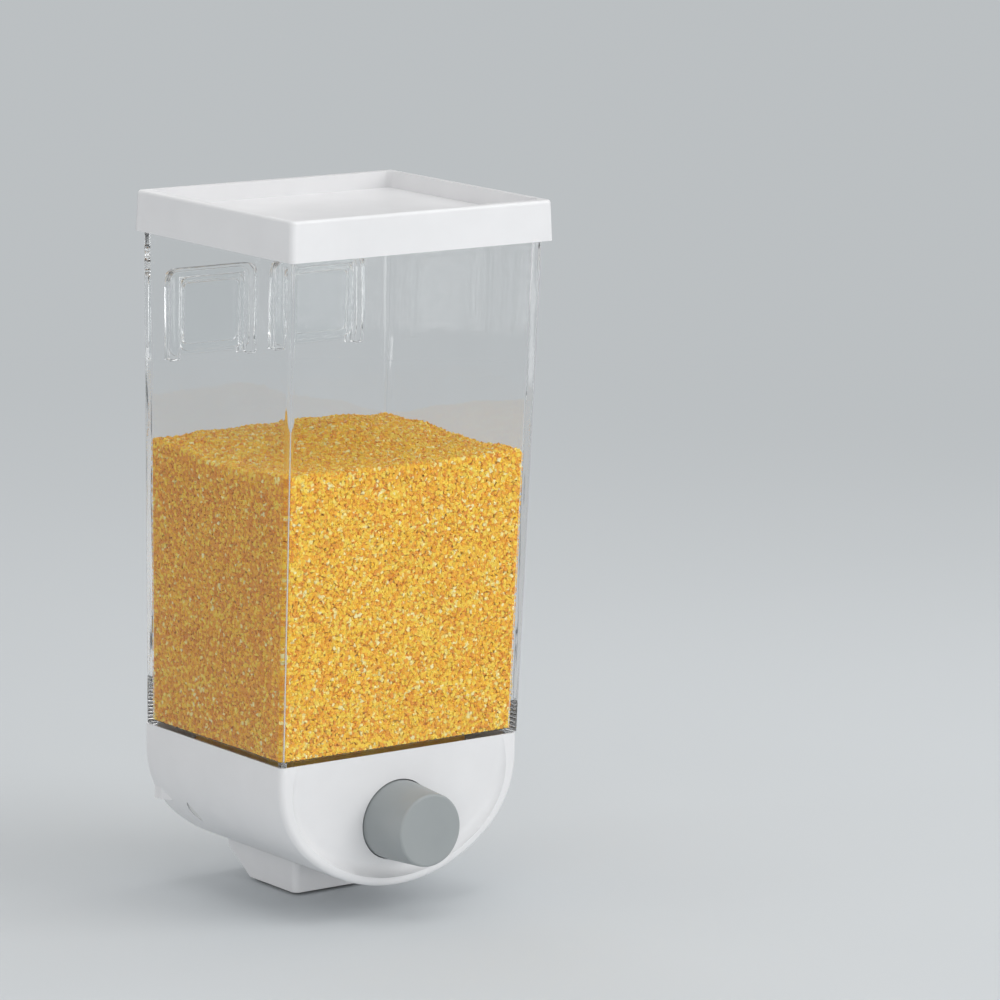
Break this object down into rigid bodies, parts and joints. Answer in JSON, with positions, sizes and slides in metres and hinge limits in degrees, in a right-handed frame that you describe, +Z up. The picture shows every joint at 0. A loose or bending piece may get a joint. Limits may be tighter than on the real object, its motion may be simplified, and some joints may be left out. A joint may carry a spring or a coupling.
{
  "type": "wall-mounted cereal dispenser",
  "caption": "Wall-hung dry-food dispenser: a clear tapered hopper with a lift-off lid on a U-shaped housing, with a sprung push button that slides a gate over an outlet chute.",
  "frame": {"origin": "on the wall plane, midway between the two adhesive pads", "axes": "+Z up, +Y into the wall, so the button and lid front face -Y, and +X to the right seen from the front"},
  "size_m": [0.1142, 0.1103, 0.2547],
  "materials": {
    "clear_shell": "clear moulded styrene-acrylic, polished",
    "white_shell": "white moulded plastic, fine satin gloss",
    "white_inner": "white moulded plastic, plain",
    "grey_button": "mid-grey moulded plastic, satin",
    "silicone": "translucent white silicone",
    "screw_steel": "zinc-plated steel",
    "spring_steel": "stainless spring wire",
    "clear_hook": "clear moulded plastic",
    "clear_adhesive": "clear acrylic adhesive pad",
    "bumper_rubber": "soft white rubber"
  },
  "bodies": {
    "wall_hooks": {"adhesive_pad_left": "clear_adhesive", "adhesive_pad_right": "clear_adhesive", "wall_hook_left": "clear_hook", "wall_hook_right": "clear_hook"},
    "dispenser": {"hopper": "clear_shell", "base_housing": "white_shell", "funnel_insert": "white_inner", "funnel_gasket": "silicone", "throat_seal": "silicone", "valve_body": "white_inner", "outlet_chute": "white_shell", "spring_guide_pin": "spring_steel", "wall_bumper_left": "bumper_rubber", "wall_bumper_right": "bumper_rubber", "return_spring": "spring_steel"},
    "lid": {"lid_cover": "white_shell", "lid_seal": "silicone"},
    "button": {"push_button": "grey_button", "gate_slide": "white_inner", "gate_screws": "screw_steel"}
  },
  "joints": [
    {"name": "lift_off_hooks", "type": "slide", "parent": "wall_hooks", "child": "dispenser", "axis": [0, 0, 1], "range_m": [0, 0.032]},
    {"name": "lid_lift", "type": "slide", "parent": "dispenser", "child": "lid", "axis": [0, 0, 1], "range_m": [0, 0.05]},
    {"name": "button_press", "type": "slide", "parent": "dispenser", "child": "button", "axis": [0, 1, 0], "range_m": [0, 0.013], "stiffness_N_per_m": 250, "springref_m": -0.004, "deforming": ["return_spring"]}
  ]
}
